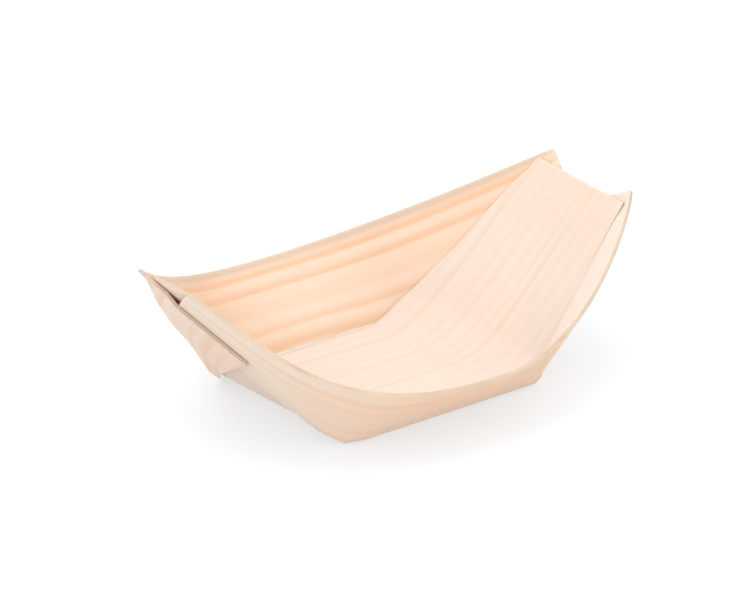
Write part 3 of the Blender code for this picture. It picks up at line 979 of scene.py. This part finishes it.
def makeFoldStrands():        # short wavy strands, each on its own lane along the fold
    tree, given, made = nodeTree("foldStrands", ("Radius", "Spread", "Wave", "Jitter"), ("Strands", "Seed"))
    path = addNode(tree, "GeometryNodeMeshToCurve", {"Mesh": given["Geometry"]}).outputs[0]
    values = {"Geometry": path, "Amount": given["Strands"]}
    copies = addNode(tree, "GeometryNodeDuplicateElements", values, domain="SPLINE").outputs[0]
    index = {0: addNode(tree, "GeometryNodeInputIndex").outputs[0]}
    number = addNode(tree, "GeometryNodeFieldOnDomain", index, data_type="INT", domain="CURVE").outputs[0]
    first, length = (pickRandom(tree, *strand[part], calc(tree, "ADD", given["Seed"], step), number)
                     for part, step in (("start", 0.0), ("length", 1.0)))
    values = {"Curve": copies, "Start": first, "End": calc(tree, "ADD", first, length)}
    cut = addNode(tree, "GeometryNodeTrimCurve", values, mode="FACTOR").outputs[0]
    flat = splitXyz(tree, addNode(tree, "GeometryNodeInputPosition").outputs[0])
    lane = calc(tree, "MULTIPLY", calc(tree, "ADD", number, given["Seed"]), strand["laneStep"])
    walk = calc(tree, "DIVIDE", flat["X"], given["Wave"])
    offsets = []
    for shift in (0.0, strand["heightLane"]):
        values = {"Vector": joinXyz(tree, walk, lane, shift), "Scale": 1.0, "Detail": 1.0}
        wobble = addNode(tree, "ShaderNodeTexNoise", values).outputs[0]
        offsets.append(calc(tree, "MULTIPLY", calc(tree, "SUBTRACT", wobble, 0.5), given["Jitter"]))
    laneShare = calc(tree, "FRACT", calc(tree, "MULTIPLY", number, strand["laneShare"]))
    sideways = calc(tree, "MULTIPLY_ADD", calc(tree, "SUBTRACT", laneShare, 0.5), given["Spread"], offsets[0])
    values = {"Geometry": cut, "Offset": joinXyz(tree, 0.0, sideways, offsets[1])}
    moved = addNode(tree, "GeometryNodeSetPosition", values).outputs[0]
    values = {"Resolution": strand["sides"], "Radius": given["Radius"]}
    ring = addNode(tree, "GeometryNodeCurvePrimitiveCircle", values).outputs[0]
    values = {"Curve": moved, "Profile Curve": ring, "Fill Caps": True}
    finishTree(tree, addNode(tree, "GeometryNodeCurveToMesh", values).outputs[0], made, given)
    return tree


foldStrands = makeFoldStrands()


def makeScore(side):
    data = newSheet()
    columns = []
    crown = []
    for x in scoreStations():
        section = scoreSection(side, x)
        crown.append(toFrame((section[2] + section[3]) / 2))
        columns.append([addPoint(data, point, x, 0.0) for point in section])
    for left, right in zip(columns, columns[1:]):
        for row in range(len(left)):
            after = (row + 1) % len(left)
            data["faces"].append((left[row], right[row], right[after], left[after]))
    data["faces"] += [columns[0][::-1], columns[-1]]
    strip = sheetObject(side + "Score", data)
    strip.data.materials.append(materials["looseFibre"])
    shape = bmesh.new()
    shape.from_mesh(strip.data)
    bmesh.ops.recalc_face_normals(shape, faces=shape.faces)
    shape.to_mesh(strip.data)
    shape.free()
    smoothShade(strip, score["smoothTo"])
    line = bpy.data.meshes.new(side + "Strands")
    line.from_pydata(crown, [(index, index + 1) for index in range(len(crown) - 1)], [])
    strands = newObject(side + "Strands", line)
    runTree(strands, foldStrands, {
        "Strands": strand["count"], "Radius": strand["radius"] * mm, "Spread": strand["spread"] * mm,
        "Wave": strand["wave"] * mm, "Jitter": strand["jitter"] * mm, "Seed": strand["seed"],
        "Material": materials["looseFibre"]})
    smoothShade(strands, strand["smoothTo"])
    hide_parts(side + "_score")
    for piece in (strip, strands):
        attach(piece, "root")
    print("fold:", side, len(strip.data.polygons), "faces,", len(strands.data.polygons), "strand faces")


for side in sideSign:
    makeScore(side)


# Torn fibre ends along the edges that were cut across the grain.

torn = {
    "spacing": 0.5, "length": (0.05, 0.30), "width": (0.016, 0.040), "tipShare": 0.25, "sides": 5,
    "tilt": 0.45, "spin": 6.28, "seed": 7, "smoothTo": 60.0,
    "steps": 24, "edgeStart": 0.06, "edgeShare": 0.86,        # the stretch of a flap's end edge that frays
}


def makeTornFibres():
    numbers = ("Spacing", "Shortest", "Longest", "Thinnest", "Thickest", "Tilt")
    tree, given, made = nodeTree("tornFibres", numbers, ("Seed",))
    path = addNode(tree, "GeometryNodeMeshToCurve", {"Mesh": given["Geometry"]}).outputs[0]
    values = {"Curve": path, "Length": given["Spacing"]}
    spots = addNode(tree, "GeometryNodeCurveToPoints", values, mode="LENGTH").outputs[0]
    grain = addNode(tree, "GeometryNodeInputNamedAttribute", {"Name": "grainWay"}, data_type="FLOAT_VECTOR")
    turn = addNode(tree, "FunctionNodeAlignRotationToVector", {"Vector": grain.outputs[0]}, axis="Z")
    back = calc(tree, "MULTIPLY", given["Tilt"], -1.0)
    values = {0: joinXyz(tree, back, back, 0.0), 1: joinXyz(tree, given["Tilt"], given["Tilt"], torn["spin"]),
              "Seed": given["Seed"]}
    lean = addNode(tree, "FunctionNodeRandomValue", values, data_type="FLOAT_VECTOR").outputs[0]
    lean = addNode(tree, "FunctionNodeEulerToRotation", {"Euler": lean}).outputs[0]
    values = {"Rotation": turn.outputs[0], "Rotate By": lean}
    way = addNode(tree, "FunctionNodeRotateRotation", values, rotation_space="LOCAL").outputs[0]
    limits = ((1.0, "Thinnest", "Thickest"), (2.0, "Shortest", "Longest"))
    thickness, length = (pickRandom(tree, given[least], given[most], calc(tree, "ADD", given["Seed"], step))
                         for step, least, most in limits)
    values = {"Vertices": torn["sides"], "Radius Top": torn["tipShare"], "Radius Bottom": 1.0, "Depth": 1.0}
    splinter = addNode(tree, "GeometryNodeMeshCone", values).outputs["Mesh"]
    values = {"Points": spots, "Instance": splinter, "Rotation": way,
              "Scale": joinXyz(tree, thickness, thickness, length)}
    finishTree(tree, addNode(tree, "GeometryNodeInstanceOnPoints", values).outputs[0], made, given)
    return tree


def cutLines():        # each edge cut across the grain, as (point, way the grain runs out) along its length
    lines = []
    steps = torn["steps"]
    for end in ends:
        top = reachOf(end)
        way = slopePoint(end, top + 1, 0.0) - slopePoint(end, top, 0.0)
        near = -halfWidth(end, "near", top)
        far = halfWidth(end, "far", top)
        topEdge = [near + (far - near) * index / steps for index in range(1, steps)]
        lines.append([(slopePoint(end, top - endSkew(end, top, across), across, -sheet["veneer"] / 2), way)
                      for across in topEdge])
        out = slopePoint(end, top, 0.0, 1.0) - slopePoint(end, top, 0.0)
        for side in sideSign:
            _, corner, horn = flapOutline(end, side)
            shares = [torn["edgeStart"] + torn["edgeShare"] * index / steps for index in range(steps + 1)]
            edge = [Vector(corner).lerp(Vector(horn), share) for share in shares]
            points = [lapPoint(end, side, *flat) + out * sheet["veneer"] / 2 for flat in edge]
            run = (points[-1] - points[0]).normalized()
            grain = run.cross(out).normalized()
            grain *= 1 if grain.dot(way) > 0 else -1
            lines.append([(point, grain) for point in points])
    return lines


def addTornFibres():
    points = []
    ways = []
    edges = []
    for line in cutLines():
        start = len(points)
        points += [toFrame(point) for point, _ in line]
        ways += [way for _, way in line]
        edges += [(index, index + 1) for index in range(start, len(points) - 1)]
    mesh = bpy.data.meshes.new("tornFibres")
    mesh.from_pydata(points, edges, [])
    attribute = mesh.attributes.new("grainWay", "FLOAT_VECTOR", "POINT")
    for item, way in zip(attribute.data, ways):
        item.vector = way
    fibres = newObject("tornFibres", mesh)
    shortest, longest = torn["length"]
    thinnest, thickest = torn["width"]
    runTree(fibres, makeTornFibres(), {
        "Spacing": torn["spacing"] * mm, "Shortest": shortest * mm, "Longest": longest * mm,
        "Thinnest": thinnest * mm, "Thickest": thickest * mm, "Tilt": torn["tilt"],
        "Seed": torn["seed"], "Material": materials["looseFibre"]})
    smoothShade(fibres, torn["smoothTo"])
    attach(fibres, "root")
    print("fibres:", len(fibres.data.polygons), "faces")


addTornFibres()


# Glue: a thin pressed dab between each two layers, uneven at its rim.

glue = {"rings": 10, "sides": 64, "clear": 0.02, "uneven": 0.16, "lobes": 1.6,
        "rimThin": 0.35, "rimPower": 6, "smoothTo": 40.0}
dabs = {
    "right_inner_glue": {"end": rightEnd, "middle": (2.0, 23.0), "oval": (5.0, 4.0), "outer": False},
    "left_inner_glue": {"end": leftEnd, "middle": (-2.0, 21.0), "oval": (5.0, 4.6), "outer": False},
    "right_outer_glue": {"end": rightEnd, "middle": (0.0, 22.5), "oval": (4.4, 3.4), "outer": True},
    "left_outer_glue": {"end": leftEnd, "middle": (0.0, 21.2), "oval": (4.0, 3.4), "outer": True},
}


def dabLayers(dab, across, along):        # the faces that the dab joins, as distances outside the tongue
    end = dab["end"]
    if dab["outer"]:
        return sheet["layerGap"] + sheet["veneer"], layerOffset(end, end["outer"], across, along)
    return 0.0, sheet["layerGap"]


def dabRings(shape, dab, upper):        # one face of the dab, from its middle out to its rim
    end = dab["end"]
    middle = Vector((dab["middle"][0], alongOf(end, dab["middle"][1])))
    rings = []
    for ring in range(glue["rings"] + 1):
        share = ring / glue["rings"]
        corners = []
        for step in range(glue["sides"] if ring else 1):
            angle = math.tau * step / glue["sides"]
            way = Vector((math.cos(angle), math.sin(angle), middle.x + middle.y))
            size = share * (1 + glue["uneven"] * noise.noise(way * glue["lobes"]) * share)
            across = middle.x + dab["oval"][0] * math.cos(angle) * size
            along = middle.y + dab["oval"][1] * math.sin(angle) * size
            low, high = dabLayers(dab, across, along)
            inset = glue["clear"] + (high - low) * glue["rimThin"] * share ** glue["rimPower"]
            out = high - inset if upper else low + inset
            corners.append(shape.verts.new(toFrame(slopePoint(end, along, across, out))))
        rings.append(corners)
    return rings


def makeDab(name, dab):
    shape = bmesh.new()
    lower = dabRings(shape, dab, False)
    upper = dabRings(shape, dab, True)
    afters = [(step, (step + 1) % glue["sides"]) for step in range(glue["sides"])]
    for rings in (lower, upper):
        for inner, outer in zip(rings, rings[1:]):
            for step, after in afters:
                spots = [inner[step % len(inner)], outer[step], outer[after], inner[after % len(inner)]]
                shape.faces.new(list(dict.fromkeys(spots)))
    for step, after in afters:
        shape.faces.new((lower[-1][step], lower[-1][after], upper[-1][after], upper[-1][step]))
    bmesh.ops.recalc_face_normals(shape, faces=shape.faces)
    mesh = bpy.data.meshes.new(name)
    shape.to_mesh(mesh)
    shape.free()
    mesh.materials.append(materials["glueFilm"])
    piece = newObject(name.replace("_glue", "Glue"), mesh)
    smoothShade(piece, glue["smoothTo"])
    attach(piece, "root")
    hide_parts(name)
    print("glue:", name, len(mesh.polygons), "faces")


for name, dab in dabs.items():
    makeDab(name, dab)


# Stage, light and camera

stageLook = {"size": 4.0, "drop": 0.0002, "colour": (0.36, 0.36, 0.368), "roughness": 0.9,
             "glow": (0.955, 0.985, 1.0), "glowPower": 0.57}


def makeStage():        # a table that glows a little, so that the shadow stays pale
    mesh = bpy.data.meshes.new("tableTop")
    half = stageLook["size"] / 2
    corners = [(-half, -half), (half, -half), (half, half), (-half, half)]
    mesh.from_pydata([(x, y, -stageLook["drop"]) for x, y in corners], [], [(0, 1, 2, 3)])
    table = newObject("tableTop", mesh)
    material, _, shader = newMaterial("paleTable")
    shader.inputs["Base Color"].default_value = colour(stageLook["colour"])
    shader.inputs["Roughness"].default_value = stageLook["roughness"]
    shader.inputs["Specular IOR Level"].default_value = 0.0
    shader.inputs["Emission Color"].default_value = colour(stageLook["glow"])
    shader.inputs["Emission Strength"].default_value = stageLook["glowPower"]
    mesh.materials.append(material)


lightLook = {
    "sky": 1.5, "skyColour": (0.97, 0.985, 1.0),
    "softKey": {"place": (-0.08, 0.28, 0.88), "size": 0.7, "power": 2.4},
    "lowFill": {"place": (-0.50, -0.72, 0.10), "size": 0.5, "power": 1.2},
}


def makeLights():
    scene = bpy.context.scene
    scene.world = bpy.data.worlds.new("studio")
    scene.world.use_nodes = True
    sky = scene.world.node_tree.nodes["Background"]
    sky.inputs["Color"].default_value = colour(lightLook["skyColour"])
    sky.inputs["Strength"].default_value = lightLook["sky"]
    for name in ("softKey", "lowFill"):
        look = lightLook[name]
        lamp = bpy.data.lights.new(name, "AREA")
        lamp.size = look["size"]
        lamp.energy = look["power"]
        box = newObject(name, lamp)
        box.location = look["place"]
        box.rotation_euler = (-Vector(look["place"])).to_track_quat("-Z", "Y").to_euler()
    scene.view_settings.view_transform = "Standard"


cameraLook = {
    "azimuth": 38.35, "elevation": 23.06, "distance": 866.4, "focalPixels": 5480.7,
    "image": (748, 600), "middlePixel": (378.89, 378.52),        # where the floor's middle shows
    "sensor": 36.0, "nearClip": 0.01,
}


def makeCamera():
    azimuth = math.radians(cameraLook["azimuth"])
    elevation = math.radians(cameraLook["elevation"])
    right = Vector((math.cos(azimuth), -math.sin(azimuth), 0.0))
    forward = Vector((math.sin(azimuth) * math.cos(elevation), math.cos(azimuth) * math.cos(elevation),
                      -math.sin(elevation)))
    up = right.cross(forward)
    width, height = cameraLook["image"]
    pixel = cameraLook["distance"] / cameraLook["focalPixels"]
    sideways = (cameraLook["middlePixel"][0] - width / 2) * pixel
    upward = (height / 2 - cameraLook["middlePixel"][1]) * pixel
    lens = bpy.data.cameras.new("photoCamera")
    lens.sensor_width = cameraLook["sensor"]
    lens.lens = cameraLook["focalPixels"] / width * lens.sensor_width
    lens.clip_start = cameraLook["nearClip"]
    camera = newObject("photoCamera", lens)
    turn = Matrix((right, up, -forward)).transposed().to_4x4()
    turn.translation = toFrame(-(right * sideways + up * upward + forward * cameraLook["distance"]))
    camera.matrix_world = turn
    bpy.context.scene.camera = camera


makeStage()
makeLights()
makeCamera()
print("stage: table, lights and camera set")
